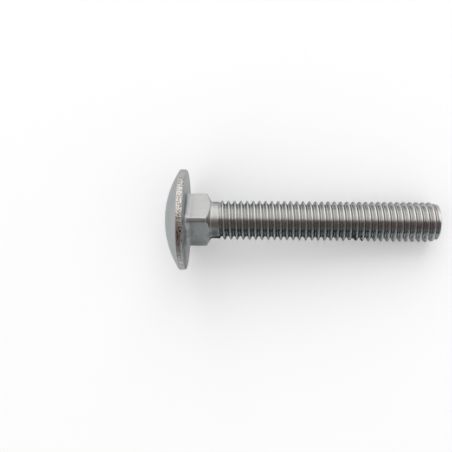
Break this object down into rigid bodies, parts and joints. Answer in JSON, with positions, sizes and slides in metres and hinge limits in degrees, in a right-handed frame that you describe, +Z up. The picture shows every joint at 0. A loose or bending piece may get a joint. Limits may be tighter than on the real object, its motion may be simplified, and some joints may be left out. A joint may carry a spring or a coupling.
{
  "type": "carriage bolt",
  "caption": "Carriage bolt with a low domed head, a square neck and a coarse right-hand thread rolled almost up to the neck, in bright plain steel.",
  "frame": {"origin": "on the ground, under the centre of the lying bolt's bounding box", "axes": "+Z up; the bolt lies on the rim of its head and the last full turn of its thread, with the head towards -X, the tip towards +X and one corner of the square neck up"},
  "size_m": [0.0544, 0.0202, 0.0202],
  "materials": {
    "bright_steel": "bright satin cold-headed steel with a rough sheared rim and a rolled thread"
  },
  "bodies": {
    "root": {"carriage_bolt": "bright_steel"}
  },
  "joints": []
}
